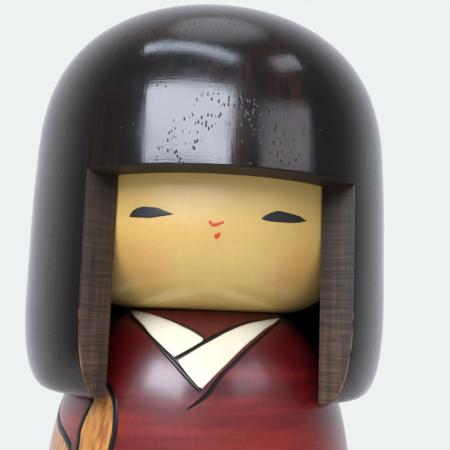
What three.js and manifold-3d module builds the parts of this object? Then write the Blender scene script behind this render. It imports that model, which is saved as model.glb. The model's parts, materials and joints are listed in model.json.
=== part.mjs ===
// Kokeshi doll: a turned wooden doll whose bobbed hair is a hollow cap fitted over the head.
//
// Four turned pieces share one vertical axis. The body is a block with a domed shoulder and a
// flat foot. The neck peg is a dowel glued in the body's top. The head is a barrel with a blind
// bore, and it turns on the peg. The hair cap is a deep bell glued over the head, with a window
// sawn out of its front, so that a fringe stays above the face and a lock on each side of it.
//
// Units are millimetres, +Z is up, and the face looks along -Y. The origin is the centre of the
// foot. Heights that end in "AboveLip" start at the cap's lower edge.

import * as THREE from 'three';
import { mergeVertices } from 'three/addons/utils/BufferGeometryUtils.js';
import Module from 'manifold-3d';

// Body
const lipHeight = 90;               // the cap's lower edge above the foot
const bodyRadius = 37.6;            // at the belly, the widest place
const bellyBelowLip = 30;
const footRadius = 32.5;
const footRounding = 2.5;
const shoulderApexRise = 4.5;       // how far the shoulder's curve would go on above the seat
const shoulderRoundness = 2.5;      // exponent of the shoulder's curve, 2 is an ellipse

// Head
const headBottomAboveLip = 19.8;
const headEdgeRounding = 19;

// Hair cap
const skirtClearance = 3.3;         // between the shoulder and the bore, level with the lip
const capWall = 7.8;
const shoulderAboveLip = 59;        // where the crown's dome starts
const domeHeight = 37.4;
const domeRoundness = 2.29;
const shoulderNarrowing = 0.6;      // the cap is this much slimmer where its dome starts
const widestAboveLip = 51.6;
const lipRoundingHeight = 24.9;
const lipRoundness = 2.66;
const crownWall = 17;
const hollowDomeDrop = 8;           // the hollow's dome starts this far under the outer one's
const hollowRoundness = 2.2;

// Face window
const fringeAboveLip = 48.4;
const windowHalfAngle = 38.1;       // degrees from the middle of the face to the bore's edge
const cutFaceTurn = 36.8;           // degrees between a sawn face and the plane of the face

// Neck peg
const pegRadius = 6;
const pegInBody = 24;
const pegInHead = 22;
const pegChamfer = 1;

// Fits
const glueGap = 0.35;               // between glued faces
const pegGap = 0.35;                // around the peg
const seatGap = 0.3;                // between the head's underside and the body's seat
const boreEndGap = 1;               // at either end of the peg

// Facets
const turnSegments = 48;
const pegSegments = 24;
const curveSteps = 12;

// Sizes that follow from the ones above
const bodyTop = lipHeight + headBottomAboveLip - seatGap;
const bellyHeight = lipHeight - bellyBelowLip;
const shoulderApex = bodyTop + shoulderApexRise;
const boreRadius = shoulderRadiusAt(lipHeight) + skirtClearance;
const headRadius = boreRadius - glueGap;
const headBottom = lipHeight + headBottomAboveLip;
const capRadius = boreRadius + capWall;
const capShoulder = lipHeight + shoulderAboveLip;
const capTop = capShoulder + domeHeight;
const hollowShoulder = capShoulder - hollowDomeDrop;
const hollowTop = capTop - crownWall;
const pegBoreRadius = pegRadius + pegGap;

const wasm = await Module();
wasm.setup();

// The shoulder is a quarter of a superellipse between the belly and a virtual apex.
function shoulderRadiusAt(z) {
  const rise = (z - bellyHeight) / (shoulderApex - bellyHeight);
  return bodyRadius * Math.pow(1 - Math.pow(rise, shoulderRoundness), 1 / shoulderRoundness);
}

// One quarter of a superellipse, from its foot (radius, base) to its crown (inner, base + rise).
function quarterArc(inner, radius, base, rise, roundness, steps) {
  const points = [];
  for (let i = 0; i <= steps; i += 1) {
    const angle = (i / steps) * Math.PI / 2;
    const out = Math.pow(Math.cos(angle), 2 / roundness);
    const up = Math.pow(Math.sin(angle), 2 / roundness);
    points.push([inner + (radius - inner) * (i === steps ? 0 : out), base + rise * up]);
  }
  return points;
}

// A solid of revolution about +Z from a profile of [radius, height] points.
function turned(profile, segments) {
  const points = profile.map(([radius, height]) => new THREE.Vector2(radius, height));
  const geometry = new THREE.LatheGeometry(points, segments);
  return geometry.rotateX(Math.PI / 2);
}

// A prism along +Z from an outline of [x, y] points.
function prism(outline, bottom, height) {
  const shape = new THREE.Shape(outline.map(([x, y]) => new THREE.Vector2(x, y)));
  const geometry = new THREE.ExtrudeGeometry(shape, { depth: height, bevelEnabled: false });
  return geometry.translate(0, 0, bottom);
}

function toManifold(geometry) {
  const bare = geometry.clone();
  bare.deleteAttribute('normal');
  bare.deleteAttribute('uv');
  const merged = mergeVertices(bare, 1e-4);
  const vertProperties = new Float32Array(merged.attributes.position.array);
  const triVerts = new Uint32Array(merged.index.array);
  return new wasm.Manifold(new wasm.Mesh({ numProp: 3, vertProperties, triVerts }));
}

function toGeometry(solid) {
  const mesh = solid.getMesh();
  const geometry = new THREE.BufferGeometry();
  geometry.setAttribute('position', new THREE.BufferAttribute(mesh.vertProperties, 3));
  geometry.setIndex(new THREE.BufferAttribute(mesh.triVerts, 1));
  geometry.computeVertexNormals();
  return geometry;
}

function piece(name, geometry, color, roughness) {
  const material = new THREE.MeshStandardMaterial({ color, roughness, metalness: 0 });
  const mesh = new THREE.Mesh(geometry, material);
  mesh.name = name;
  return mesh;
}

// The body: foot, tapered lower half, domed shoulder and a flat seat with the peg's socket.
function makeBody() {
  const socketFloor = bodyTop - pegInBody - boreEndGap;
  const profile = [[0, 0]];
  for (let i = 0; i <= 3; i += 1) {
    const angle = (i / 3) * Math.PI / 2;
    const radius = footRadius - footRounding * (1 - Math.sin(angle));
    profile.push([radius, footRounding * (1 - Math.cos(angle))]);
  }
  const taperSteps = 8;
  for (let i = 1; i <= taperSteps; i += 1) {
    const rise = i / taperSteps;
    const radius = bodyRadius - (bodyRadius - footRadius) * (1 - rise) ** 2;
    profile.push([radius, footRounding + (bellyHeight - footRounding) * rise]);
  }
  const shoulderSteps = 16;
  for (let i = 1; i <= shoulderSteps; i += 1) {
    const rise = Math.sin((i / shoulderSteps) * Math.PI / 2);
    const z = bellyHeight + (bodyTop - bellyHeight) * rise;
    profile.push([shoulderRadiusAt(z), z]);
  }
  profile.push([pegBoreRadius, bodyTop], [pegBoreRadius, socketFloor], [0, socketFloor]);
  return piece('body', turned(profile, turnSegments), 0x8e2628, 0.3);
}

// The peg: a chamfered dowel, half in the body and half in the head.
function makeNeckPeg() {
  const bottom = bodyTop - pegInBody;
  const top = headBottom + pegInHead;
  const profile = [
    [0, bottom],
    [pegRadius - pegChamfer, bottom],
    [pegRadius, bottom + pegChamfer],
    [pegRadius, top - pegChamfer],
    [pegRadius - pegChamfer, top],
    [0, top],
  ];
  return piece('neck_peg', turned(profile, pegSegments), 0xd9bd8c, 0.6);
}

// The head: a barrel with a rounded chin edge, a domed top and the peg's blind bore.
function makeHead() {
  const boreEnd = headBottom + pegInHead + boreEndGap;
  const profile = [[0, boreEnd], [pegBoreRadius, boreEnd], [pegBoreRadius, headBottom]];
  const edgeSteps = 9;
  for (let i = 0; i <= edgeSteps; i += 1) {
    const angle = (i / edgeSteps) * Math.PI / 2;
    const radius = headRadius - headEdgeRounding * (1 - Math.sin(angle));
    profile.push([radius, headBottom + headEdgeRounding * (1 - Math.cos(angle))]);
  }
  const topRise = hollowTop - hollowShoulder - glueGap;
  profile.push(...quarterArc(0, headRadius, hollowShoulder, topRise, hollowRoundness, curveSteps));
  return piece('head', turned(profile, turnSegments), 0xe3c27f, 0.35);
}

// The cap's outer and inner walls as one closed profile, from the crown's inside to its outside.
function capProfile() {
  const hollowRise = hollowTop - hollowShoulder;
  const hollow = quarterArc(0, boreRadius, hollowShoulder, hollowRise, hollowRoundness, curveSteps);
  const profile = hollow.reverse();
  profile.push([boreRadius, lipHeight]);
  const lipSteps = 8;
  for (let i = 1; i <= lipSteps; i += 1) {
    const angle = (i / lipSteps) * Math.PI / 2;
    const out = Math.pow(Math.sin(angle), 2 / lipRoundness);
    const down = Math.pow(Math.cos(angle), 2 / lipRoundness);
    const height = lipHeight + lipRoundingHeight * (1 - (i === lipSteps ? 0 : down));
    profile.push([boreRadius + capWall * out, height]);
  }
  profile.push([capRadius, lipHeight + widestAboveLip]);
  const domeRadius = capRadius - shoulderNarrowing;
  profile.push(...quarterArc(0, domeRadius, capShoulder, domeHeight, domeRoundness, curveSteps + 4));
  return profile;
}

// What the saw takes out for the face: a prism from below the lip up to the fringe.
function windowCutter() {
  const edgeAngle = THREE.MathUtils.degToRad(windowHalfAngle);
  const turn = THREE.MathUtils.degToRad(cutFaceTurn);
  const edge = [boreRadius * Math.sin(edgeAngle), -boreRadius * Math.cos(edgeAngle)];
  const reach = 2.5 * capWall;
  const inset = capWall / 2;
  const inner = [edge[0] - inset * Math.cos(turn), edge[1] + inset * Math.sin(turn)];
  const outer = [edge[0] + reach * Math.cos(turn), edge[1] - reach * Math.sin(turn)];
  const front = -(capRadius + reach);
  const right = [inner, outer, [outer[0], front]];
  const left = right.map(([x, y]) => [-x, y]).reverse();
  const below = capWall;
  return prism([...right, ...left], lipHeight - below, fringeAboveLip + below);
}

function makeHairCap() {
  const bell = toManifold(turned(capProfile(), turnSegments));
  const cut = bell.subtract(toManifold(windowCutter()));
  return piece('hair_cap', toGeometry(cut), 0x1c1210, 0.2);
}

const doll = new THREE.Group();
doll.add(makeBody());
doll.add(makeNeckPeg());
const turningHead = new THREE.Group();
turningHead.add(makeHead());
turningHead.add(makeHairCap());
doll.add(turningHead);

export default doll;
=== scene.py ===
# %% [markdown]
# # A kokeshi doll, turned, carved and lacquered
#
# A creative kokeshi is lathe work. The body and the head are dogwood, which is pale and has
# hardly any figure, and the bobbed hair is a hollow cap of open-grained zelkova, stained nearly
# black and lacquered. The collar is cut with a gouge and inked, and the face is a few strokes of
# a brush. This lesson turns each piece by spinning its profile, saws and carves it with booleans,
# lays the paint on as thin films, and builds each finish from what the real one is.

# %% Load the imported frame
import json
import math

import bmesh
import bpy
from mathutils import Matrix, Vector

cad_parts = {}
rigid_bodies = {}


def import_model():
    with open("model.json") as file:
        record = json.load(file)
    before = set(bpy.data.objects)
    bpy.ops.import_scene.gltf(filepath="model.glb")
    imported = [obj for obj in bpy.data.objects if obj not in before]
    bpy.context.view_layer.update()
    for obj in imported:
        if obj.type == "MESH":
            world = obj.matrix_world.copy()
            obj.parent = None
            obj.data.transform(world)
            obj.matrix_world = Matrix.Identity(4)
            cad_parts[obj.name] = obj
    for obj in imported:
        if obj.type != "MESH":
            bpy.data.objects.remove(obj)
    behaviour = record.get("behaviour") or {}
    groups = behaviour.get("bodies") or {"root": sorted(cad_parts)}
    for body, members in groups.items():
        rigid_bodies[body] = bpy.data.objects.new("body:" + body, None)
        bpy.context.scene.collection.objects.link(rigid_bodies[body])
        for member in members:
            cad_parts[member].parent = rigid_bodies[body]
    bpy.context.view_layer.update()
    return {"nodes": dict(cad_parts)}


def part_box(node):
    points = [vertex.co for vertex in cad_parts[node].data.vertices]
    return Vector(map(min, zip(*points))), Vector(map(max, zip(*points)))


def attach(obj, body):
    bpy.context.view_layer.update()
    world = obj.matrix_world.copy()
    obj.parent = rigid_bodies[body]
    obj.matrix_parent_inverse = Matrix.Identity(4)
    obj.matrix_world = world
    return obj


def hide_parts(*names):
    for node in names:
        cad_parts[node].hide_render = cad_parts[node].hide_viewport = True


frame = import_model()
MM = 0.001
body_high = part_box("body")[1]
head_low, head_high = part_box("head")
cap_low, cap_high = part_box("hair_cap")
lip = cap_low.z
print("frame:", sorted(frame["nodes"]), "lip at", round(lip / MM, 2), "mm")

# %% [markdown]
# ## The camera and the light
#
# The doll is looked at from close by, a little to its left and slightly from below, so the nearest
# surfaces swell and the lens matters as much as the direction. The place is given round the
# doll's axis, as a turn, a distance and a height, and then the camera is aimed with small turns.

# %% Place the camera
FILM_WIDTH = 36.0
LENS = 58.6
camera_azimuth = math.radians(-4.9)
camera_distance = 190.6 * MM
camera_above_lip = 16.8 * MM
camera_pitch = math.radians(7.67)
camera_pan = math.radians(1.27)
camera_roll = math.radians(2.11)

camera_data = bpy.data.cameras.new("camera")
camera_data.lens = LENS
camera_data.sensor_width = FILM_WIDTH
camera_data.clip_start = 0.01
camera = bpy.data.objects.new("camera", camera_data)
bpy.context.scene.collection.objects.link(camera)
bpy.context.scene.camera = camera
camera_place = Vector((
    camera_distance * math.sin(camera_azimuth),
    -camera_distance * math.cos(camera_azimuth),
    lip + camera_above_lip,
))
level = Matrix.Rotation(camera_azimuth - camera_pan, 4, "Z")
upright = Matrix.Rotation(math.radians(90) + camera_pitch, 4, "X")
camera.matrix_world = (
    Matrix.Translation(camera_place) @ level @ upright @ Matrix.Rotation(camera_roll, 4, "Z")
)
print("camera:", [round(c / MM, 1) for c in camera_place], "mm, lens", LENS)


# %% [markdown]
# ## One function for colour and one for nodes
#
# Colours are written as the hex values that a paint chart gives, and turned to linear light once.
# Every material below is built from the same small function, which adds a node, sets it and
# links what is given as a socket.

# %% Colour and node helpers
def linear(hex_colour, alpha=1.0):
    """An sRGB hex colour as linear RGBA."""
    channels = [int(hex_colour[i:i + 2], 16) / 255 for i in (1, 3, 5)]
    toned = [c / 12.92 if c <= 0.04045 else ((c + 0.055) / 1.055) ** 2.4 for c in channels]
    return (*toned, alpha)


def add_node(tree, kind, settings=None, inputs=None):
    """Adds a node, sets its properties, and fills or links its inputs."""
    node = tree.nodes.new(kind)
    for name, value in (settings or {}).items():
        setattr(node, name, value)
    for name, value in (inputs or {}).items():
        if isinstance(value, bpy.types.NodeSocket):
            tree.links.new(value, node.inputs[name])
        else:
            node.inputs[name].default_value = value
    return node


def new_material(name):
    """An empty node material and its tree."""
    material = bpy.data.materials.new(name)
    material.use_nodes = True
    material.node_tree.nodes.clear()
    print("material:", name)
    return material, material.node_tree


def finish_material(tree, shader):
    """Joins a shader to the material's output."""
    add_node(tree, "ShaderNodeOutputMaterial", inputs={"Surface": shader.outputs[0]})


# %% [markdown]
# ## A pale room
#
# Gloss only shows what stands round it. A white tent with a darker side behind the camera gives
# the lacquer its bright rims and leaves its front nearly black, and the background that the
# camera itself sees stays one plain pale colour from every side.
#
# One set of windows could do all the work, but then a change to a highlight would change every
# colour with it. So the lamps are shared out. The windows are seen only in gloss. The daylight and
# the room lamp only light the colours. Two of the windows belong to the body alone and the other
# four to the hair and head, through light linking, so that each highlight can be put in its place.

# %% Light the room
BACKDROP = "#eef1f1"
world = bpy.data.worlds.new("white_tent")
bpy.context.scene.world = world
world.use_nodes = True
sky = world.node_tree
sky.nodes.clear()
direction = add_node(sky, "ShaderNodeTexCoord")
split = add_node(sky, "ShaderNodeSeparateXYZ", inputs={0: direction.outputs["Generated"]})
front_dark = add_node(sky, "ShaderNodeMapRange", {"interpolation_type": "SMOOTHSTEP"}, {
    "Value": split.outputs["Y"], "From Min": -0.1, "From Max": 0.6, "To Min": 0.2, "To Max": 0.85})
overhead = add_node(sky, "ShaderNodeMapRange", {"interpolation_type": "SMOOTHSTEP"}, {
    "Value": split.outputs["Z"], "From Min": 0.92, "From Max": 0.99, "To Min": 0.0, "To Max": 1.9})
tent = add_node(sky, "ShaderNodeMath", {"operation": "MAXIMUM"}, {
    0: front_dark.outputs[0], 1: overhead.outputs[0]})
tent_light = add_node(sky, "ShaderNodeBackground", inputs={
    "Color": linear("#f3f6ff"), "Strength": tent.outputs[0]})
plain = add_node(sky, "ShaderNodeBackground", inputs={"Color": linear(BACKDROP), "Strength": 1.0})
ray = add_node(sky, "ShaderNodeLightPath")
both = add_node(sky, "ShaderNodeMixShader", inputs={
    0: ray.outputs["Is Camera Ray"], 1: tent_light.outputs[0], 2: plain.outputs[0]})
add_node(sky, "ShaderNodeOutputWorld", inputs={"Surface": both.outputs[0]})
bpy.context.scene.view_settings.view_transform = "Standard"


def softbox(name, azimuth, elevation, distance, width, height, radiance, tint, seen_in_gloss):
    """A rectangular light facing the hair's front, either mirrored in gloss or lighting colour.

    Angles are in degrees from the front and from level, lengths in metres."""
    aim = Vector((0, -40 * MM, lip + 60 * MM))
    turn, rise = math.radians(azimuth), math.radians(elevation)
    out = Vector((math.sin(turn) * math.cos(rise), -math.cos(turn) * math.cos(rise), math.sin(rise)))
    lamp = bpy.data.lights.new(name, "AREA")
    lamp.shape = "RECTANGLE"
    lamp.size = width
    lamp.size_y = height
    lamp.energy = radiance * math.pi * width * height
    lamp.color = linear(tint)[:3]
    light = bpy.data.objects.new(name, lamp)
    light.visible_camera = False
    light.visible_glossy = seen_in_gloss
    light.visible_diffuse = not seen_in_gloss
    facing = out.to_track_quat("Z", "Y").to_matrix().to_4x4()
    light.matrix_world = Matrix.Translation(aim + out * distance) @ facing
    bpy.context.scene.collection.objects.link(light)
    return light


hair_windows = [
    softbox("window", azimuth=-22, elevation=25, distance=0.26, width=0.262, height=0.115,
            radiance=14.0, tint="#e9efff", seen_in_gloss=True),
    softbox("window_top", azimuth=-34, elevation=65, distance=0.26, width=0.24, height=0.035,
            radiance=8.0, tint="#dcebff", seen_in_gloss=True),
    softbox("side_top", azimuth=62, elevation=52, distance=0.26, width=0.08, height=0.04,
            radiance=3.2, tint="#e6f0ff", seen_in_gloss=True),
    softbox("far_window", azimuth=44, elevation=19, distance=0.26, width=0.154, height=0.07,
            radiance=2.7, tint="#f0f3ff", seen_in_gloss=True),
]
softbox("daylight", azimuth=-25, elevation=36, distance=0.4, width=0.4, height=0.3,
        radiance=2.9, tint="#fff8ec", seen_in_gloss=False)
softbox("room", azimuth=0, elevation=0, distance=0.5, width=0.8, height=0.6,
        radiance=0.7, tint="#fffaf2", seen_in_gloss=False)
body_windows = [
    softbox("shoulder_window", azimuth=-45, elevation=36, distance=0.3, width=0.19, height=0.11,
            radiance=13.0, tint="#e9efff", seen_in_gloss=True),
    softbox("shoulder_far_window", azimuth=46, elevation=36, distance=0.3, width=0.17, height=0.1,
            radiance=3.0, tint="#f0f3ff", seen_in_gloss=True),
]

# %% [markdown]
# ## The floor
#
# A pale sheet that fades out well beyond the doll, so that it takes the doll's shadow and has no
# edge or horizon of its own.

# %% Lay the floor
FLOOR_RADIUS = 0.6
FADE_START = 0.16
FADE_END = 0.42
floor_material, tree = new_material("pale_paper")
place = add_node(tree, "ShaderNodeTexCoord")
reach = add_node(tree, "ShaderNodeVectorMath", {"operation": "LENGTH"}, {0: place.outputs["Object"]})
fade = add_node(tree, "ShaderNodeMapRange", {"interpolation_type": "SMOOTHSTEP"}, {
    "Value": reach.outputs["Value"], "From Min": FADE_START, "From Max": FADE_END})
paper = add_node(tree, "ShaderNodeBsdfPrincipled", inputs={
    "Base Color": linear("#d9dcdc"), "Roughness": 0.9})
clear = add_node(tree, "ShaderNodeBsdfTransparent")
finish_material(tree, add_node(tree, "ShaderNodeMixShader", inputs={
    0: fade.outputs[0], 1: paper.outputs[0], 2: clear.outputs[0]}))

floor_mesh = bpy.data.meshes.new("floor")
floor = bpy.data.objects.new("floor", floor_mesh)
bpy.context.scene.collection.objects.link(floor)
bm = bmesh.new()
bmesh.ops.create_circle(bm, cap_ends=True, radius=FLOOR_RADIUS, segments=96)
bm.to_mesh(floor_mesh)
bm.free()
floor_mesh.materials.append(floor_material)
print("floor: a disc", round(2 * FLOOR_RADIUS, 2), "m across")


# %% [markdown]
# ## Turning
#
# Each piece is a profile spun about the axis. The curves are quarters of a superellipse, which
# is a rounder or squarer ellipse by one exponent, and the same formulas give the paint its
# place later on.

# %% Profile and spinning helpers
SHARP_ANGLE = math.radians(32)
SAME_PLACE = 0.001 * MM


def quarter(inner, radius, base, rise, roundness, steps):
    """Points of a quarter superellipse from (radius, base) to (inner, base + rise)."""
    points = []
    for i in range(steps + 1):
        angle = i / steps * math.pi / 2
        out = 0.0 if i == steps else math.cos(angle) ** (2 / roundness)
        points.append((inner + (radius - inner) * out, base + rise * math.sin(angle) ** (2 / roundness)))
    return points


def straight(start, end, step):
    """Evenly spaced points from one profile point to another, without the first."""
    count = max(1, round(math.dist(start, end) / step))
    mix = [(i + 1) / count for i in range(count)]
    return [tuple(a + (b - a) * t for a, b in zip(start, end)) for t in mix]


def shade(mesh):
    """Smooth shading that breaks where faces meet at more than SHARP_ANGLE."""
    for polygon in mesh.polygons:
        polygon.use_smooth = True
    mesh.set_sharp_from_angle(angle=SHARP_ANGLE)


def new_piece(name, bm, materials):
    """A bmesh as an object at the origin, shaded smooth and split at its sharp edges."""
    mesh = bpy.data.meshes.new(name)
    bm.to_mesh(mesh)
    bm.free()
    for material in materials:
        mesh.materials.append(material)
    shade(mesh)
    piece = bpy.data.objects.new(name, mesh)
    bpy.context.scene.collection.objects.link(piece)
    return piece


def turn_piece(name, profile, steps, materials):
    """Spins a profile of (radius, height) once round the Z axis."""
    bm = bmesh.new()
    verts = [bm.verts.new((radius, 0, height)) for radius, height in profile]
    edges = [bm.edges.new(pair) for pair in zip(verts, verts[1:])]
    bmesh.ops.spin(bm, geom=verts + edges, cent=(0, 0, 0), axis=(0, 0, 1),
                   angle=2 * math.pi, steps=steps, use_merge=True)
    bmesh.ops.remove_doubles(bm, verts=bm.verts, dist=SAME_PLACE)
    bmesh.ops.recalc_face_normals(bm, faces=bm.faces)
    return new_piece(name, bm, materials)


def apply_modifiers(piece):
    """Keeps the modified mesh as the piece's own."""
    depsgraph = bpy.context.evaluated_depsgraph_get()
    finished = bpy.data.meshes.new_from_object(piece.evaluated_get(depsgraph))
    finished.name = piece.name
    piece.modifiers.clear()
    old = piece.data
    piece.data = finished
    bpy.data.meshes.remove(old)


def cut_away(piece, cutter):
    """Takes the cutter's space out of the piece. The new faces keep the cutter's material."""
    knife = piece.modifiers.new("cut", "BOOLEAN")
    knife.operation = "DIFFERENCE"
    knife.solver = "EXACT"
    knife.material_mode = "TRANSFER"
    knife.object = cutter
    bpy.context.view_layer.update()
    apply_modifiers(piece)
    bpy.data.objects.remove(cutter)


# %% [markdown]
# ## Zelkova under black lacquer
#
# Zelkova is ring-porous: each year starts with a row of large vessels, which show on a turned
# side as fine upright dashes and on the dome as rows of dots. The stain sinks in unevenly, so the
# wood keeps red-brown streaks under its black, and the clear lacquer over it is glossy but
# follows every pore and lathe line.

# %% Make the hair's lacquered wood
LATHE_LINE = 0.35 * MM
RING_WIDTH = 7 * MM
WAVE_PERIOD = 0.314              # metres between a wave texture's rings at a scale of 1
PITH_BEHIND_AXIS = 28 * MM
VESSEL_SPACING = 0.62 * MM       # coarser than in real zelkova, so that the pores show
hair_material, tree = new_material("lacquered_zelkova")
place = add_node(tree, "ShaderNodeTexCoord")
log = add_node(tree, "ShaderNodeMapping", inputs={
    "Vector": place.outputs["Object"], "Location": (0, -PITH_BEHIND_AXIS, 0)})
fibres = add_node(tree, "ShaderNodeMapping", inputs={
    "Vector": log.outputs[0], "Scale": (1, 1, 0.035)})
streaks = add_node(tree, "ShaderNodeTexNoise", inputs={
    "Vector": fibres.outputs[0], "Scale": 1 / (1.2 * MM), "Detail": 4.0, "Roughness": 0.6})
broad = add_node(tree, "ShaderNodeTexNoise", inputs={
    "Vector": fibres.outputs[0], "Scale": 1 / (9 * MM), "Detail": 3.0})
stain = add_node(tree, "ShaderNodeValToRGB", inputs={"Fac": streaks.outputs["Fac"]})
stain.color_ramp.elements[0].position = 0.38
stain.color_ramp.elements[0].color = linear("#090505")
stain.color_ramp.elements[1].position = 0.7
stain.color_ramp.elements[1].color = linear("#381a0e")
black = add_node(tree, "ShaderNodeMapRange", {"interpolation_type": "SMOOTHSTEP"}, {
    "Value": broad.outputs["Fac"], "From Min": 0.38, "From Max": 0.62, "To Min": 0.0, "To Max": 0.8})
wood = add_node(tree, "ShaderNodeMix", {"data_type": "RGBA"}, {
    0: black.outputs[0], 6: linear("#080606"), 7: stain.outputs[0]})
rings = add_node(tree, "ShaderNodeTexWave", {
    "wave_type": "RINGS", "rings_direction": "Z", "wave_profile": "SAW"}, {
    "Vector": log.outputs[0], "Scale": WAVE_PERIOD / RING_WIDTH, "Distortion": 0.7, "Detail": 2.0,
    "Detail Scale": 0.5, "Phase Offset": 4.1})
early = add_node(tree, "ShaderNodeMapRange", {"interpolation_type": "SMOOTHSTEP"}, {
    "Value": rings.outputs["Fac"], "From Min": 0.88, "From Max": 0.93, "To Min": 0.0, "To Max": 1.0})
vessels = add_node(tree, "ShaderNodeMapping", inputs={
    "Vector": log.outputs[0], "Scale": (1, 1, 0.45)})
cells = add_node(tree, "ShaderNodeTexVoronoi", inputs={
    "Vector": vessels.outputs[0], "Scale": 1 / VESSEL_SPACING, "Randomness": 1.0})
pits = add_node(tree, "ShaderNodeMapRange", {"interpolation_type": "SMOOTHSTEP"}, {
    "Value": cells.outputs["Distance"], "From Min": 0.1, "From Max": 0.36, "To Min": 1.0, "To Max": 0.0})
open_ones = add_node(tree, "ShaderNodeMapRange", {"interpolation_type": "SMOOTHSTEP"}, {
    "Value": cells.outputs["Color"], "From Min": 0.38, "From Max": 0.43, "To Min": 0.0, "To Max": 1.0})
late_ones = add_node(tree, "ShaderNodeMapRange", {"interpolation_type": "SMOOTHSTEP"}, {
    "Value": cells.outputs["Color"], "From Min": 0.84, "From Max": 0.88, "To Min": 0.0, "To Max": 0.45})
row = add_node(tree, "ShaderNodeMath", {"operation": "MULTIPLY"}, {
    0: early.outputs[0], 1: open_ones.outputs[0]})
where = add_node(tree, "ShaderNodeMath", {"operation": "MAXIMUM"}, {
    0: row.outputs[0], 1: late_ones.outputs[0]})
pores = add_node(tree, "ShaderNodeMath", {"operation": "MULTIPLY"}, {
    0: pits.outputs[0], 1: where.outputs[0]})
lathe = add_node(tree, "ShaderNodeMapping", inputs={
    "Vector": place.outputs["Object"], "Scale": (0.05, 0.05, 1)})
lines = add_node(tree, "ShaderNodeTexNoise", inputs={
    "Vector": lathe.outputs[0], "Scale": 1 / LATHE_LINE, "Detail": 3.0, "Roughness": 0.7})
lathe_bump = add_node(tree, "ShaderNodeBump", inputs={
    "Strength": 0.5, "Distance": 0.03 * MM, "Height": lines.outputs["Fac"]})
fibre_bump = add_node(tree, "ShaderNodeBump", inputs={
    "Strength": 0.45, "Distance": 0.05 * MM, "Height": streaks.outputs["Fac"],
    "Normal": lathe_bump.outputs[0]})
pore_depth = add_node(tree, "ShaderNodeMath", {"operation": "MULTIPLY"}, {
    0: pores.outputs[0], 1: -1.0})
pore_bump = add_node(tree, "ShaderNodeBump", inputs={
    "Strength": 0.5, "Distance": 0.1 * MM, "Height": pore_depth.outputs[0],
    "Normal": fibre_bump.outputs[0]})
pored = add_node(tree, "ShaderNodeMix", {"data_type": "RGBA"}, {
    0: pores.outputs[0], 6: wood.outputs[2], 7: linear("#050404")})
rubbing = add_node(tree, "ShaderNodeTexNoise", inputs={
    "Vector": place.outputs["Object"], "Scale": 1 / (11 * MM), "Detail": 3.0})
polish = add_node(tree, "ShaderNodeMapRange", inputs={
    "Value": rubbing.outputs["Fac"], "From Min": 0.36, "From Max": 0.64, "To Min": 0.06, "To Max": 0.2})
filled = add_node(tree, "ShaderNodeMapRange", inputs={
    "Value": pores.outputs[0], "To Min": 1.0, "To Max": 0.1})
finish_material(tree, add_node(tree, "ShaderNodeBsdfPrincipled", inputs={
    "Base Color": pored.outputs[2], "Roughness": 0.32, "IOR": 1.5, "Specular IOR Level": 0.1,
    "Coat Weight": filled.outputs[0], "Coat Roughness": polish.outputs[0], "Coat IOR": 1.5,
    "Normal": pore_bump.outputs[0], "Coat Normal": pore_bump.outputs[0]}))

# %% [markdown]
# ## Zelkova off the saw
#
# The window's sides are left as the saw left them: matt, brown, with a fine rung of saw lines
# across the grain, and rubbed lighter along the outer edge where the stain has worn through.
# Their brown is also darkened towards the top as painted shade under the fringe.

# %% Make the sawn wood and its worn edge
sawn_material, tree = new_material("sawn_zelkova")
place = add_node(tree, "ShaderNodeTexCoord")
across = add_node(tree, "ShaderNodeMapping", inputs={
    "Vector": place.outputs["Object"], "Scale": (0.05, 0.05, 1)})
saw = add_node(tree, "ShaderNodeTexNoise", inputs={
    "Vector": across.outputs[0], "Scale": 1 / (0.5 * MM), "Detail": 2.0, "Roughness": 0.5})
along = add_node(tree, "ShaderNodeMapping", inputs={
    "Vector": place.outputs["Object"], "Scale": (1, 1, 0.05)})
grain = add_node(tree, "ShaderNodeTexNoise", inputs={
    "Vector": along.outputs[0], "Scale": 1 / (1.1 * MM), "Detail": 3.0})
wood = add_node(tree, "ShaderNodeValToRGB", inputs={"Fac": grain.outputs["Fac"]})
wood.color_ramp.elements[0].position = 0.36
wood.color_ramp.elements[0].color = linear("#30271f")
wood.color_ramp.elements[1].position = 0.66
wood.color_ramp.elements[1].color = linear("#50392b")
rungs = add_node(tree, "ShaderNodeMapRange", inputs={
    "Value": saw.outputs["Fac"], "From Min": 0.35, "From Max": 0.65, "To Min": 0.5, "To Max": 1.3})
sawn = add_node(tree, "ShaderNodeMix", {"data_type": "RGBA", "blend_type": "MULTIPLY"}, {
    0: 1.0, 6: wood.outputs[0], 7: rungs.outputs[0]})
above_foot = add_node(tree, "ShaderNodeSeparateXYZ", inputs={0: place.outputs["Object"]})
# painted shade: the sawn faces darken towards the top, under the fringe, and lighten near the lip
painted_fringe_shade = add_node(tree, "ShaderNodeMapRange", inputs={
    "Value": above_foot.outputs["Z"], "From Min": lip + 45 * MM, "From Max": lip + 5 * MM,
    "To Min": 0.42, "To Max": 1.5})
sawn = add_node(tree, "ShaderNodeMix", {"data_type": "RGBA", "blend_type": "MULTIPLY"}, {
    0: 1.0, 6: sawn.outputs[2], 7: painted_fringe_shade.outputs[0]})
saw_bump = add_node(tree, "ShaderNodeBump", inputs={
    "Strength": 0.5, "Distance": 0.1 * MM, "Height": saw.outputs["Fac"]})
finish_material(tree, add_node(tree, "ShaderNodeBsdfPrincipled", inputs={
    "Base Color": sawn.outputs[2], "Roughness": 0.6, "IOR": 1.5, "Normal": saw_bump.outputs[0]}))

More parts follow.
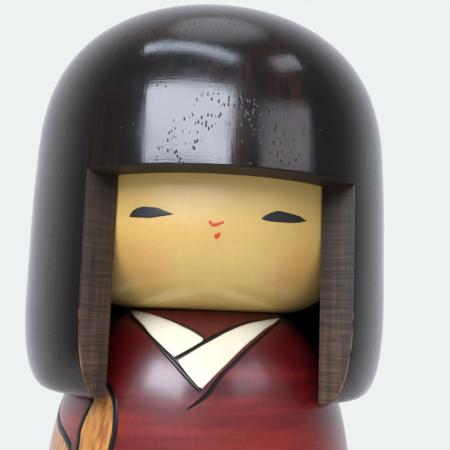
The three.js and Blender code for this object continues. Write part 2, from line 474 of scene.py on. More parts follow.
worn_material, tree = new_material("worn_zelkova_edge")
place = add_node(tree, "ShaderNodeTexCoord")
patches = add_node(tree, "ShaderNodeTexNoise", inputs={
    "Vector": place.outputs["Object"], "Scale": 1 / (6 * MM), "Detail": 4.0, "Roughness": 0.65})
above_foot = add_node(tree, "ShaderNodeSeparateXYZ", inputs={0: place.outputs["Object"]})
handled = add_node(tree, "ShaderNodeMapRange", inputs={
    "Value": above_foot.outputs["Z"], "From Min": lip + 38 * MM, "From Max": lip + 6 * MM,
    "To Min": -0.16, "To Max": 0.1})
rubbed = add_node(tree, "ShaderNodeMath", {"operation": "ADD"}, {
    0: patches.outputs["Fac"], 1: handled.outputs[0]})
worn = add_node(tree, "ShaderNodeValToRGB", inputs={"Fac": rubbed.outputs[0]})
worn.color_ramp.elements[0].position = 0.5
worn.color_ramp.elements[0].color = linear("#211815")
worn.color_ramp.elements[1].position = 0.72
worn.color_ramp.elements[1].color = linear("#9a7450")
finish_material(tree, add_node(tree, "ShaderNodeBsdfPrincipled", inputs={
    "Base Color": worn.outputs[0], "Roughness": 0.45, "IOR": 1.5}))

# %% [markdown]
# ## The hair cap
#
# The bell is turned first, inside and out, and the window is sawn out afterwards by two upright
# cuts and one level cut. The cuts could be modelled by leaving faces out of the spin, but the
# side cuts are flat planes that don't run through the axis, so a boolean gives the true edges.
#
# Wall, lip, hollow and dome heights are the frame's own. The frame's crown is two curves that meet
# in a slight kink, and gloss shows every kink, so here one smooth curve runs within about 0.3 mm
# of them: a side that starts to lean in, slowly, and a dome that closes over it.

# %% Turn the hair cap
CAP_STEPS = 288
LIP_STEPS = 28
CROWN_STEPS = 90
HOLLOW_STEPS = 24
LIP_ROUNDNESS = 2.66
HOLLOW_ROUNDNESS = 2.2
CROWN_ROUNDNESS = 2.45
NARROWING = 0.057                # the side's inward slope where the dome starts
RING_CROWDING = 0.9              # under 1 moves the rings up, where the curve is tightest
cap_wall = 7.8 * MM
cap_radius = cap_high.x
bore_radius = cap_radius - cap_wall
cap_shoulder = lip + 59 * MM
crown_wall = 17 * MM
hollow_shoulder = cap_shoulder - 8 * MM
hollow_top = cap_high.z - crown_wall
lip_rounding_height = 24.9 * MM
narrowing_start = lip + 38 * MM


def crown_radius(z):
    """The cap's outer radius from the start of its narrowing to the top."""
    bend = cap_shoulder - narrowing_start
    past = z - narrowing_start
    slack = NARROWING * (past * past / (2 * bend) if past < bend else past - bend / 2)
    full = cap_radius - NARROWING * (cap_high.z - narrowing_start - bend / 2)
    dome = max(0.0, z - cap_shoulder) / (cap_high.z - cap_shoulder)
    return cap_radius - slack - full * (1 - (1 - dome ** CROWN_ROUNDNESS) ** (1 / CROWN_ROUNDNESS))


hollow_rise = hollow_top - hollow_shoulder
hollow = quarter(0, bore_radius, hollow_shoulder, hollow_rise, HOLLOW_ROUNDNESS, HOLLOW_STEPS)[::-1]
cap_profile = hollow + straight(hollow[-1], (bore_radius, lip), 1.5 * MM)
for i in range(1, LIP_STEPS + 1):
    angle = i / LIP_STEPS * math.pi / 2
    down = 0.0 if i == LIP_STEPS else math.cos(angle) ** (2 / LIP_ROUNDNESS)
    radius = bore_radius + cap_wall * math.sin(angle) ** (2 / LIP_ROUNDNESS)
    cap_profile.append((radius, lip + lip_rounding_height * (1 - down)))
cap_profile += straight(cap_profile[-1], (cap_radius, narrowing_start), 1.2 * MM)
crown_rise = cap_high.z - narrowing_start
for i in range(1, CROWN_STEPS + 1):
    z = narrowing_start + crown_rise * math.sin(i / CROWN_STEPS * math.pi / 2) ** RING_CROWDING
    cap_profile.append((0 if i == CROWN_STEPS else crown_radius(z), z))
hair = turn_piece("hair_bell", cap_profile, CAP_STEPS, [hair_material])
print("bell:", len(hair.data.polygons), "faces before it is sawn")

# %% [markdown]
# ## The face window
#
# Three saw cuts leave a fringe above the face and a lock at each side of it. The side cuts stand
# upright and open outwards, so a wide strip of sawn wood shows on each lock. The cutter is one
# prism, and the boolean gives its faces the sawn wood. The new edges are then rounded a little,
# as sandpaper does, and the outer ones take the worn finish.

# %% Saw the face window out of the cap
ARRIS_ROUNDING = 0.22 * MM
fringe = lip + 48.4 * MM
edge_angle = math.radians(38.1)
cut_turn = math.radians(36.8)
edge = Vector((bore_radius * math.sin(edge_angle), -bore_radius * math.cos(edge_angle)))
along_cut = Vector((math.cos(cut_turn), -math.sin(cut_turn)))
inner = edge - along_cut * cap_wall / 2
outer = edge + along_cut * cap_wall * 2.5
right_side = [inner, outer, Vector((outer.x, -2 * cap_radius))]
outline = right_side + [Vector((-p.x, p.y)) for p in reversed(right_side)]
bm = bmesh.new()
base = bm.faces.new([bm.verts.new((p.x, p.y, lip - cap_wall)) for p in outline])
lifted = bmesh.ops.extrude_face_region(bm, geom=[base])["geom"]
bmesh.ops.translate(bm, vec=(0, 0, fringe - lip + cap_wall),
                    verts=[v for v in lifted if isinstance(v, bmesh.types.BMVert)])
bmesh.ops.recalc_face_normals(bm, faces=bm.faces)
cut_away(hair, new_piece("saw", bm, [sawn_material]))

bm = bmesh.new()
bm.from_mesh(hair.data)
saw_slot = hair.data.materials.find(sawn_material.name)
shared = [e for e in bm.edges if len(e.link_faces) == 2]
arris = [e for e in shared if [f.material_index == saw_slot for f in e.link_faces].count(True) == 1]
print("hair cap:", len(bm.faces), "faces,", len(arris), "edges along the saw cut")
rounded = bmesh.ops.bevel(bm, geom=arris, offset=ARRIS_ROUNDING, offset_type="OFFSET", segments=2,
                          profile=0.5, affect="EDGES", material=-1, clamp_overlap=False)
for face in rounded["faces"]:
    if face.calc_center_median().xy.length > bore_radius + cap_wall / 2:
        face.material_index = len(hair.data.materials)
bm.to_mesh(hair.data)
bm.free()
hair.data.materials.append(worn_material)
shade(hair.data)
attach(hair, "turning_head")
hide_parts("hair_cap")

# %% [markdown]
# ## Lacquered dogwood
#
# Dogwood is pale, even and close-grained, and yellows under lacquer. What figure there is shows
# as faint upright flecks, and the polish leaves fine level lines. A little rouge is rubbed
# into the cheeks before the last coat, so it has no edge.

# %% Make the head's wood
head_material, tree = new_material("lacquered_dogwood")
place = add_node(tree, "ShaderNodeTexCoord")
along = add_node(tree, "ShaderNodeMapping", inputs={
    "Vector": place.outputs["Object"], "Scale": (1, 1, 0.12)})
flecks = add_node(tree, "ShaderNodeTexNoise", inputs={
    "Vector": along.outputs[0], "Scale": 1 / (0.8 * MM), "Detail": 4.0, "Roughness": 0.65})
clouds = add_node(tree, "ShaderNodeTexNoise", inputs={
    "Vector": along.outputs[0], "Scale": 1 / (14 * MM), "Detail": 2.0})
pale = add_node(tree, "ShaderNodeMix", {"data_type": "RGBA"}, {
    0: clouds.outputs["Fac"], 6: linear("#dab568"), 7: linear("#e5c577")})
flecked = add_node(tree, "ShaderNodeMapRange", inputs={
    "Value": flecks.outputs["Fac"], "From Min": 0.3, "From Max": 0.7, "To Min": 0.965, "To Max": 1.03})
grained = add_node(tree, "ShaderNodeMix", {"data_type": "RGBA", "blend_type": "MULTIPLY"}, {
    0: 1.0, 6: pale.outputs[2], 7: flecked.outputs[0]})
lathe = add_node(tree, "ShaderNodeMapping", inputs={
    "Vector": place.outputs["Object"], "Scale": (0.05, 0.05, 1)})
lines = add_node(tree, "ShaderNodeTexNoise", inputs={
    "Vector": lathe.outputs[0], "Scale": 1 / LATHE_LINE, "Detail": 3.0, "Roughness": 0.7})
level_lines = add_node(tree, "ShaderNodeMapRange", inputs={
    "Value": lines.outputs["Fac"], "From Min": 0.3, "From Max": 0.7, "To Min": 0.95, "To Max": 1.04})
grained = add_node(tree, "ShaderNodeMix", {"data_type": "RGBA", "blend_type": "MULTIPLY"}, {
    0: 1.0, 6: grained.outputs[2], 7: level_lines.outputs[0]})
cheek_aside = 18.5 * MM
cheek_forward = 31.5 * MM
cheek_height = lip + 28.5 * MM
spots = []
for side in (-1, 1):
    cheek = Vector((side * cheek_aside, -cheek_forward, cheek_height))
    apart = add_node(tree, "ShaderNodeVectorMath", {"operation": "DISTANCE"}, {
        0: place.outputs["Object"], 1: cheek})
    spot = add_node(tree, "ShaderNodeMapRange", {"interpolation_type": "SMOOTHSTEP"}, {
        "Value": apart.outputs["Value"], "From Min": 1 * MM, "From Max": 11 * MM,
        "To Min": 0.36, "To Max": 0.0})
    spots.append(spot.outputs[0])
rouge = add_node(tree, "ShaderNodeMath", {"operation": "ADD"}, {0: spots[0], 1: spots[1]})
rouged = add_node(tree, "ShaderNodeMix", {"data_type": "RGBA"}, {
    0: rouge.outputs[0], 6: grained.outputs[2], 7: linear("#e08a4e")})
lathe_bump = add_node(tree, "ShaderNodeBump", inputs={
    "Strength": 0.14, "Distance": 0.03 * MM, "Height": lines.outputs["Fac"]})
fleck_bump = add_node(tree, "ShaderNodeBump", inputs={
    "Strength": 0.14, "Distance": 0.03 * MM, "Height": flecks.outputs["Fac"],
    "Normal": lathe_bump.outputs[0]})
finish_material(tree, add_node(tree, "ShaderNodeBsdfPrincipled", inputs={
    "Base Color": rouged.outputs[2], "Roughness": 0.45, "IOR": 1.5,
    "Coat Weight": 0.8, "Coat Roughness": 0.16, "Coat IOR": 1.5,
    "Normal": fleck_bump.outputs[0], "Coat Normal": fleck_bump.outputs[0]}))

# %% [markdown]
# ## The head
#
# A barrel that fills the cap, with a rounded chin edge and a flat underside that sits on the
# body. Its blind bore runs on the peg.

# %% Turn the head
HEAD_STEPS = 224
CHIN_STEPS = 36
head_radius = head_high.x
chin_rounding = 19 * MM
peg_bore = 6.35 * MM
bore_end = head_low.z + 23 * MM
head_profile = [(0, bore_end), (peg_bore, bore_end), (peg_bore, head_low.z)]
head_profile += straight(head_profile[-1], (head_radius - chin_rounding, head_low.z), 1.5 * MM)
for i in range(1, CHIN_STEPS + 1):
    angle = i / CHIN_STEPS * math.pi / 2
    radius = head_radius - chin_rounding * (1 - math.sin(angle))
    head_profile.append((radius, head_low.z + chin_rounding * (1 - math.cos(angle))))
head_profile += straight(head_profile[-1], (head_radius, hollow_shoulder), 0.8 * MM)[:-1]
head_rise = head_high.z - hollow_shoulder
head_profile += quarter(0, head_radius, hollow_shoulder, head_rise, HOLLOW_ROUNDNESS, HOLLOW_STEPS)
head = turn_piece("head_barrel", head_profile, HEAD_STEPS, [head_material])
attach(head, "turning_head")
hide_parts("head")
print("head:", len(head.data.polygons), "faces")

# %% [markdown]
# ## Red-stained dogwood
#
# The kimono is a red stain that is brushed on while the body spins, thinner towards the foot,
# where the pale wood warms it to orange. The colour lies in level bands because of that, over
# the upright grain, and a semi-gloss coat closes it. The red is also darkened on the shoulder,
# under the cap, as painted shade. The ink that fills the gouged lines later on is black with a
# slight shine.

# %% Make the body's stained wood
body_material, tree = new_material("red_stained_dogwood")
place = add_node(tree, "ShaderNodeTexCoord")
height = add_node(tree, "ShaderNodeSeparateXYZ", inputs={0: place.outputs["Object"]})
rise = add_node(tree, "ShaderNodeMapRange", inputs={
    "Value": height.outputs["Z"], "From Min": 20 * MM, "From Max": 100 * MM})
bands = add_node(tree, "ShaderNodeMapping", inputs={
    "Vector": place.outputs["Object"], "Scale": (0.1, 0.1, 1)})
brushing = add_node(tree, "ShaderNodeTexNoise", inputs={
    "Vector": bands.outputs[0], "Scale": 1 / (5 * MM), "Detail": 5.0, "Roughness": 0.6})
uneven = add_node(tree, "ShaderNodeMapRange", inputs={
    "Value": brushing.outputs["Fac"], "From Min": 0.3, "From Max": 0.7, "To Min": -0.14, "To Max": 0.14})
stain_and_shade_depth = add_node(tree, "ShaderNodeMath", {"operation": "ADD"}, {
    0: rise.outputs[0], 1: uneven.outputs[0]})
stain = add_node(tree, "ShaderNodeValToRGB", inputs={"Fac": stain_and_shade_depth.outputs[0]})
stain.color_ramp.elements[0].position = 0.1
stain.color_ramp.elements[0].color = linear("#ab5229")
# painted shade: the darkest red, on the shoulder under the cap, stands in for the cap's shadow over the
# real stain
stain.color_ramp.elements[1].position = 0.95
stain.color_ramp.elements[1].color = linear("#560a14")
middle = stain.color_ramp.elements.new(0.5)
middle.color = linear("#aa4526")
upper = stain.color_ramp.elements.new(0.7)
upper.color = linear("#9b2a28")
along = add_node(tree, "ShaderNodeMapping", inputs={
    "Vector": place.outputs["Object"], "Scale": (1, 1, 0.06)})
fibres = add_node(tree, "ShaderNodeTexNoise", inputs={
    "Vector": along.outputs[0], "Scale": 1 / (0.7 * MM), "Detail": 4.0, "Roughness": 0.6})
fibrous = add_node(tree, "ShaderNodeMapRange", inputs={
    "Value": fibres.outputs["Fac"], "From Min": 0.3, "From Max": 0.7, "To Min": 0.84, "To Max": 1.14})
grained = add_node(tree, "ShaderNodeMix", {"data_type": "RGBA", "blend_type": "MULTIPLY"}, {
    0: 1.0, 6: stain.outputs[0], 7: fibrous.outputs[0]})
lathe = add_node(tree, "ShaderNodeMapping", inputs={
    "Vector": place.outputs["Object"], "Scale": (0.04, 0.04, 1)})
lines = add_node(tree, "ShaderNodeTexNoise", inputs={
    "Vector": lathe.outputs[0], "Scale": 1 / LATHE_LINE, "Detail": 3.0, "Roughness": 0.7})
lathe_bump = add_node(tree, "ShaderNodeBump", inputs={
    "Strength": 0.2, "Distance": 0.03 * MM, "Height": lines.outputs["Fac"]})
finish_material(tree, add_node(tree, "ShaderNodeBsdfPrincipled", inputs={
    "Base Color": grained.outputs[2], "Roughness": 0.4, "IOR": 1.5,
    "Coat Weight": 0.9, "Coat Roughness": 0.2, "Coat IOR": 1.5,
    "Normal": lathe_bump.outputs[0], "Coat Normal": lathe_bump.outputs[0]}))

ink_material, tree = new_material("carved_ink")
finish_material(tree, add_node(tree, "ShaderNodeBsdfPrincipled", inputs={
    "Base Color": linear("#15130f"), "Roughness": 0.35, "IOR": 1.5}))

# %% [markdown]
# ## The body
#
# A flat foot, a belly and a domed shoulder that ends in the seat for the head. The shoulder's
# radius comes from one formula, because the collar's lines and paint need it as well.

# %% Turn the body
BODY_STEPS = 256
FOOT_STEPS = 8
SIDE_STEPS = 44
SHOULDER_RINGS = 64
SHOULDER_ROUNDNESS = 2.5
belly_radius = body_high.x
foot_radius = 32.5 * MM
foot_rounding = 2.5 * MM
belly_height = lip - 30 * MM
shoulder_apex = body_high.z + 4.5 * MM
socket_floor = body_high.z - 25 * MM


def body_radius(z):
    """The body's radius at a height."""
    if z >= belly_height:
        up = (z - belly_height) / (shoulder_apex - belly_height)
        return belly_radius * (1 - up ** SHOULDER_ROUNDNESS) ** (1 / SHOULDER_ROUNDNESS)
    up = (z - foot_rounding) / (belly_height - foot_rounding)
    return belly_radius - (belly_radius - foot_radius) * (1 - up) ** 2


body_profile = [(0, 0)] + straight((0, 0), (foot_radius - foot_rounding, 0), 3 * MM)
for i in range(1, FOOT_STEPS + 1):
    angle = i / FOOT_STEPS * math.pi / 2
    radius = foot_radius - foot_rounding * (1 - math.sin(angle))
    body_profile.append((radius, foot_rounding * (1 - math.cos(angle))))
for i in range(1, SIDE_STEPS + 1):
    z = foot_rounding + (belly_height - foot_rounding) * i / SIDE_STEPS
    body_profile.append((body_radius(z), z))
for i in range(1, SHOULDER_RINGS + 1):
    z = belly_height + (body_high.z - belly_height) * math.sin(i / SHOULDER_RINGS * math.pi / 2)
    body_profile.append((body_radius(z), z))
body_profile += straight(body_profile[-1], (peg_bore, body_high.z), 2 * MM)
body_profile += [(peg_bore, socket_floor), (0, socket_floor)]
body = turn_piece("turned_body", body_profile, BODY_STEPS, [body_material])
print("body:", len(body.data.polygons), "faces")


# %% [markdown]
# ## Drawing on a turned surface
#
# The carver and the painter work round the body, so their lines are given as a turn in degrees
# from the front and a height above the cap's lip in millimetres. A smooth curve through a few
# points gives each line, and one function places it on the wood.

# %% Drawing helpers
def smooth_line(points, steps=8):
    """A Catmull-Rom curve through the points."""
    ends = [points[0]] + list(points) + [points[-1]]
    line = []
    for a, b, c, d in zip(ends, ends[1:], ends[2:], ends[3:]):
        for i in range(steps):
            t = i / steps
            line.append(tuple(
                0.5 * (2 * q + (r - p) * t + (2 * p - 5 * q + 4 * r - s) * t * t
                       + (3 * q - p - 3 * r + s) * t ** 3)
                for p, q, r, s in zip(a, b, c, d)))
    line.append(tuple(points[-1]))
    return line


def on_body(turn, above_lip, lift=0.0):
    """A point on the body at a turn in degrees and a height in mm, raised by lift in metres."""
    z = lip + above_lip * MM
    radius = body_radius(z) + lift
    return Vector((radius * math.sin(math.radians(turn)), -radius * math.cos(math.radians(turn)), z))


def on_head(turn, above_lip, lift=0.0):
    """A point on the head at a turn in degrees and a height in mm, raised by lift in metres."""
    z = lip + above_lip * MM
    under = max(0.0, head_low.z + chin_rounding - z)
    radius = head_radius - chin_rounding + math.sqrt(chin_rounding ** 2 - under ** 2) + lift
    return Vector((radius * math.sin(math.radians(turn)), -radius * math.cos(math.radians(turn)), z))


# %% [markdown]
# ## Carving the collar
#
# The collar's lines are single pushes of a small gouge, thin where the tool enters and wide
# where it leans in at the overlap. Each stroke is a tapering round rod whose centre rides just
# over the surface, taken out of the wood by a boolean, and its inked face comes with it.

# %% Carve the collar's lines
FINEST_CUT = 0.12                # mm, where the tool only scratches
ROD_OVER_SURFACE = 0.35          # how high the rod's centre rides, as a share of its radius
ROD_WIDENING = 1.06              # makes up for that, so that the groove has the stated width


def gouge_stroke(name, points, widths):
    """A tapering rod along a line on the body, for cutting a groove of those widths in mm."""
    line = smooth_line([(turn, up, width) for (turn, up), width in zip(points, widths)])
    curve = bpy.data.curves.new(name, "CURVE")
    curve.dimensions = "3D"
    curve.bevel_depth = 1.0
    curve.bevel_resolution = 3
    curve.use_fill_caps = True
    spline = curve.splines.new("POLY")
    spline.points.add(len(line) - 1)
    for point, (turn, up, width) in zip(spline.points, line):
        rod = max(width, FINEST_CUT) / 2 * ROD_WIDENING * MM
        point.co = (*on_body(turn, up, ROD_OVER_SURFACE * rod), 1)
        point.radius = rod
    rod_object = bpy.data.objects.new(name, curve)
    bpy.context.scene.collection.objects.link(rod_object)
    bpy.context.view_layer.update()
    depsgraph = bpy.context.evaluated_depsgraph_get()
    mesh = bpy.data.meshes.new_from_object(rod_object.evaluated_get(depsgraph))
    bpy.data.objects.remove(rod_object)
    bm = bmesh.new()
    bm.from_mesh(mesh)
    bpy.data.meshes.remove(mesh)
    bmesh.ops.remove_doubles(bm, verts=bm.verts, dist=2 * SAME_PLACE)
    bmesh.ops.recalc_face_normals(bm, faces=bm.faces)
    return new_piece(name, bm, [ink_material])


collar_strokes = {
    "left_edge": (
        [(-70, 19.2), (-57, 17.7), (-43, 15.7), (-31, 13.2), (-19, 9.0), (-11.5, 5.6), (-5.6, 2.6)],
        [0.4, 0.6, 0.7, 0.8, 1.0, 1.2, 1.0]),
    "left_top": (
        [(-33, 17.9), (-22, 16.9), (-12, 15.3), (-5, 13.7)],
        [0.2, 0.5, 0.8, 0.9]),
    "right_top": (
        [(38, 18.3), (21, 17.4), (8, 15.7), (-3, 13.3), (-9.5, 11.2), (-17, 8.9)],
        [0.2, 0.5, 0.8, 1.0, 0.9, 0.7]),
    "right_edge": (
        [(54, 18.4), (34, 15.9), (20.5, 13.0), (11.5, 10.0), (2.4, 5.9), (-3.0, 2.0), (-9.8, -1.1)],
        [0.3, 0.5, 0.7, 0.8, 0.9, 1.1, 0.4]),
}
for name, (points, widths) in collar_strokes.items():
    cut_away(body, gouge_stroke("gouge_" + name, points, widths))
shade(body.data)
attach(body, "torso")
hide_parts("body")
print("carved body:", len(body.data.polygons), "faces")


# %% [markdown]
# ## Paint
#
# Paint on a doll has an edge and a thickness that the eye finds, so each painted area is a film of
# its own, laid a few hundredths of a millimetre over the wood. It could be a mask in the wood's
# material, but a film keeps a crisp brushed edge in close views and in the meshes themselves.

# %% Paint film helper
MM_PER_DEGREE = math.radians(1) * head_radius / MM
FILM_THICKNESS = 0.08 * MM
SPLITTING_PASSES = 6
MOST_FACES = 20000


def paint_film(name, outline, surface, material, rider, finest=0.9, lift=0.03):
    """A closed film over the surface inside an outline of (turn, height) points.

    The outline is filled flat and split, in a few passes, until no edge is longer than finest in
    mm. Only then is it laid on the surface, lift mm above it, and thickened downwards."""
    bm = bmesh.new()
    face = bm.faces.new([bm.verts.new((turn * MM_PER_DEGREE, up, 0)) for turn, up in outline])
    bmesh.ops.triangulate(bm, faces=[face], ngon_method="BEAUTY")
    for _ in range(SPLITTING_PASSES):
        long_edges = [e for e in bm.edges if e.calc_length() > finest]
        if not long_edges or len(bm.faces) > MOST_FACES:
            break
        bmesh.ops.subdivide_edges(bm, edges=long_edges, cuts=1)
        bmesh.ops.triangulate(bm, faces=[f for f in bm.faces if len(f.verts) > 3])
    for vert in bm.verts:
        vert.co = surface(vert.co.x / MM_PER_DEGREE, vert.co.y, lift * MM)
    bmesh.ops.recalc_face_normals(bm, faces=bm.faces)
    bm.faces.ensure_lookup_table()
    outwards = Vector((*bm.faces[0].calc_center_median().xy, 0))
    if bm.faces[0].normal.dot(outwards) < 0:
        bmesh.ops.reverse_faces(bm, faces=bm.faces)
    film = new_piece(name, bm, [material])
    skin = film.modifiers.new("thickness", "SOLIDIFY")
    skin.thickness = FILM_THICKNESS
    skin.offset = -1
    bpy.context.view_layer.update()
    apply_modifiers(film)
    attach(film, rider)
    print("paint:", name, len(film.data.polygons), "faces")
    return film


def stroke_outline(points, widths):
    """The outline of a brush stroke: a line of (turn, height) points with its widths in mm."""
    line = smooth_line([(*p, w) for p, w in zip(points, widths)])
    left, right = [], []
    for i, (turn, up, width) in enumerate(line):
        before, after = line[max(i - 1, 0)], line[min(i + 1, len(line) - 1)]
        along = Vector(((after[0] - before[0]) * MM_PER_DEGREE, after[1] - before[1])).normalized()
        side = Vector((-along.y, along.x)) * width / 2
        left.append((turn + side.x / MM_PER_DEGREE, up + side.y))
        right.append((turn - side.x / MM_PER_DEGREE, up - side.y))
    return left + right[::-1]


# %% [markdown]
# ## Three paints
#
# The eyes are ink-black, the nose and mouth vermilion, and the collar's bands are shell white,
# which is ground shell in glue: a warm, slightly cloudy white with less shine than the lacquer
# round it. The eyes and the mouth are too small for a pattern to show.

# %% Make the paints
black_paint, tree = new_material("black_eye_paint")
finish_material(tree, add_node(tree, "ShaderNodeBsdfPrincipled", inputs={
    "Base Color": linear("#1b2020"), "Roughness": 0.42, "IOR": 1.5}))
vermilion, tree = new_material("vermilion_paint")
finish_material(tree, add_node(tree, "ShaderNodeBsdfPrincipled", inputs={
    "Base Color": linear("#d9461f"), "Roughness": 0.4, "IOR": 1.5}))
white_paint, tree = new_material("shell_white_paint")
place = add_node(tree, "ShaderNodeTexCoord")
brushed = add_node(tree, "ShaderNodeTexNoise", inputs={
    "Vector": place.outputs["Object"], "Scale": 1 / (4 * MM), "Detail": 5.0})
cream = add_node(tree, "ShaderNodeMix", {"data_type": "RGBA"}, {
    0: brushed.outputs["Fac"], 6: linear("#e8eadf"), 7: linear("#f2f3ea")})
finish_material(tree, add_node(tree, "ShaderNodeBsdfPrincipled", inputs={
    "Base Color": cream.outputs[2], "Roughness": 0.42, "IOR": 1.5, "Coat Weight": 0.3,
    "Coat Roughness": 0.25}))

# %% [markdown]
# ## The collar's bands
#
# Each band of white fills the space between its two gouge lines. The right band runs on across
# the front, the left one ends at it, and both run out to a point behind the locks. A band is one
# outline, an upper and a lower line, so that its edge stays a clean brush edge.

# %% Paint the collar's two bands
left_band_top = smooth_line([
    (-72, 19.35), (-56, 19.0), (-40.5, 18.35), (-24.4, 16.9), (-12.2, 15.05), (-5.8, 13.5)])
left_band_foot = smooth_line([
    (-17.3, 9.3), (-24.8, 11.7), (-31.7, 13.6), (-42, 16.1), (-56.3, 18.0), (-72, 19.3)])
left_band = left_band_top + [(-5.6, 12.9)] + left_band_foot
right_band_top = smooth_line([
    (56, 18.75), (37.7, 18.1), (20.7, 17.0), (7.9, 15.2), (-2.3, 12.8), (-8.8, 10.9), (-15.6, 8.6)])
right_band_end = smooth_line([(-11.2, 6.0), (-6.4, 3.4)])
right_band_foot = smooth_line([
    (-5.0, 3.1), (1.5, 6.7), (10.4, 10.7), (19.5, 13.6), (33, 16.4), (56, 18.7)])
right_band = right_band_top + right_band_end + right_band_foot
paint_film("collar_left_paint", left_band, on_body, white_paint, "torso", 0.6)
paint_film("collar_right_paint", right_band, on_body, white_paint, "torso", 0.6)

# %% [markdown]
# ## The reed leaves
#
# Three long leaves rise from one root on the sleeve, in a thin gold-brown stain that lets the
# grain through, and each has a brushed ink line along both edges. Every leaf is given by its two
# edges, and the ink follows the same points, so leaf and line can't part.

# %% Paint the reed leaves on the sleeve
gold_stain, tree = new_material("gold_stained_leaf")
place = add_node(tree, "ShaderNodeTexCoord")
along = add_node(tree, "ShaderNodeMapping", inputs={
    "Vector": place.outputs["Object"], "Scale": (1, 1, 0.05)})
grain = add_node(tree, "ShaderNodeTexNoise", inputs={
    "Vector": along.outputs[0], "Scale": 1 / (1.0 * MM), "Detail": 4.0})
gold = add_node(tree, "ShaderNodeValToRGB", inputs={"Fac": grain.outputs["Fac"]})
gold.color_ramp.elements[0].position = 0.36
gold.color_ramp.elements[0].color = linear("#a8663c")
gold.color_ramp.elements[1].position = 0.58
gold.color_ramp.elements[1].color = linear("#d99a50")
finish_material(tree, add_node(tree, "ShaderNodeBsdfPrincipled", inputs={
    "Base Color": gold.outputs[0], "Roughness": 0.4, "IOR": 1.5, "Coat Weight": 0.8,
    "Coat Roughness": 0.2}))

LEAVES = {
    "upright": (
        [(-48, 3.8), (-50, -0.8), (-52.8, -6.8), (-52.1, -11.6), (-50.5, -30), (-49, -50), (-48, -70)],
        [(-48, 3.8), (-41.5, 1.4), (-37.6, -1.4), (-35.6, -6.4), (-35.9, -10.2), (-38.5, -28),
         (-43, -50), (-47, -70)]),
    "leaning_back": (
        [(-95, -2), (-74, -7.3), (-62.5, -9.6), (-55.8, -12.5), (-53, -20), (-51, -45), (-49, -70)],
        [(-95, -2), (-86, -14), (-73, -30), (-60, -52), (-50, -70)]),
    "leaning_forward": (
        [(-16, -28), (-27, -38), (-36, -51), (-45.5, -70)],
        [(-16, -28), (-21, -43), (-32, -58), (-44.5, -70)]),
}
INK_START, INK_MIDDLE, INK_END = 0.5, 1.5, 0.7
INK_LIFT = 0.06                  # over the gold, which lies at the usual 0.03 mm
for name, (left_edge, right_edge) in LEAVES.items():
    outline = smooth_line(left_edge) + smooth_line(right_edge)[:0:-1]
    paint_film("leaf_" + name, outline, on_body, gold_stain, "torso", 1.2)
    for side, leaf_edge in (("left", left_edge), ("right", right_edge)):
        widths = [INK_START] + [INK_MIDDLE] * (len(leaf_edge) - 2) + [INK_END]
        contour = stroke_outline(leaf_edge, widths)
        ink_name = f"leaf_{name}_{side}_ink"
        paint_film(ink_name, contour, on_body, ink_material, "torso", 1.2, INK_LIFT)

# %% [markdown]
# ## The face
#
# The painter uses very few strokes: a narrow almond for each eye, a shallow curve for the nose
# and a dot for the mouth, set a little towards one side. The two eyes are not mirror images,
# because a hand painted them. Each eye is an upper and a lower lid line, joined at the corners.

# %% Paint the face
left_upper_lid = smooth_line([
    (-33.1, 39.05), (-31.6, 40.4), (-28.6, 41.15), (-25.2, 41.1), (-22.3, 40.85), (-20.5, 40.4),
    (-18.0, 39.8), (-16.8, 39.5)])
left_lower_lid = smooth_line([(-16.8, 39.45), (-21.4, 39.0), (-25, 38.7), (-28.7, 38.8), (-33.1, 39.0)])
left_eye = left_upper_lid + left_lower_lid[1:-1]
right_upper_lid = smooth_line([
    (12.8, 39.4), (14.1, 40.2), (16.6, 41.0), (19.3, 41.5), (23.7, 41.25), (28, 40.9),
    (29.8, 40.4), (31.3, 40.15)])
right_lower_lid = smooth_line([(31.3, 40.1), (28.1, 39.55), (23.8, 39.15), (16, 39.0), (12.8, 39.35)])
right_eye = right_upper_lid + right_lower_lid[1:-1]
paint_film("left_eye_paint", left_eye, on_head, black_paint, "turning_head", 0.5)
paint_film("right_eye_paint", right_eye, on_head, black_paint, "turning_head", 0.5)
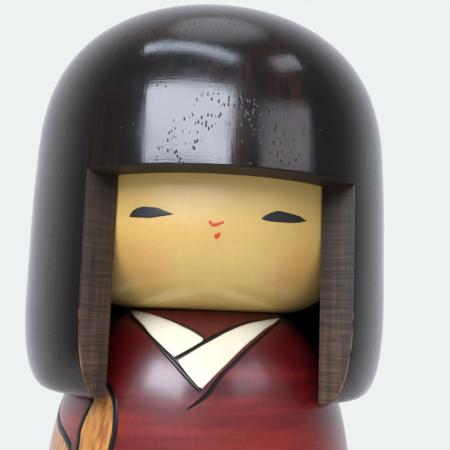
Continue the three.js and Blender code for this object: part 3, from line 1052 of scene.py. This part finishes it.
nose = stroke_outline([(-4.8, 38.3), (-4.1, 37.7), (-3.3, 37.45), (-1.8, 37.7), (0.0, 38.2)],
                      [0.45, 0.7, 0.75, 0.65, 0.45])
paint_film("nose_paint", nose, on_head, vermilion, "turning_head", 0.3)
mouth = smooth_line([
    (-2.6, 35.7), (-1.9, 35.85), (-1.0, 36.0), (-0.95, 35.5), (-1.5, 34.75), (-2.2, 34.5),
    (-2.9, 34.75), (-3.0, 35.3), (-2.6, 35.7)])[:-1]
paint_film("mouth_paint", mouth, on_head, vermilion, "turning_head", 0.3)

# %% [markdown]
# ## The peg
#
# The dowel is hidden between body and head. Its CAD shape is right, so it only gets the finish
# of bare birch.

# %% Finish the peg
birch, tree = new_material("bare_birch")
place = add_node(tree, "ShaderNodeTexCoord")
along = add_node(tree, "ShaderNodeMapping", inputs={
    "Vector": place.outputs["Object"], "Scale": (1, 1, 0.05)})
grain = add_node(tree, "ShaderNodeTexNoise", inputs={
    "Vector": along.outputs[0], "Scale": 1 / (0.8 * MM), "Detail": 4.0})
wood = add_node(tree, "ShaderNodeMix", {"data_type": "RGBA"}, {
    0: grain.outputs["Fac"], 6: linear("#c9a874"), 7: linear("#e3c996")})
finish_material(tree, add_node(tree, "ShaderNodeBsdfPrincipled", inputs={
    "Base Color": wood.outputs[2], "Roughness": 0.6, "IOR": 1.5}))
peg = frame["nodes"]["neck_peg"]
peg.data.materials.clear()
peg.data.materials.append(birch)
print("peg:", peg.name, "in", birch.name)

# %% [markdown]
# ## Sharing out the windows
#
# Light linking names the objects that a lamp may fall on. The body and its paint take the two
# shoulder windows, and everything else takes the other four. The daylight and the room lamp are
# left unlinked, so they fall on all of it.

# %% Let each window fall on its own part
lit_body = bpy.data.collections.new("lit_body")
lit_rest = bpy.data.collections.new("lit_rest")
for windows, lit in ((body_windows, lit_body), (hair_windows, lit_rest)):
    for window in windows:
        window.light_linking.receiver_collection = lit
for piece in [o for o in bpy.data.objects if o.type == "MESH"]:
    on_the_body = piece.name.startswith(("turned_body", "collar", "leaf"))
    (lit_body if on_the_body else lit_rest).objects.link(piece)
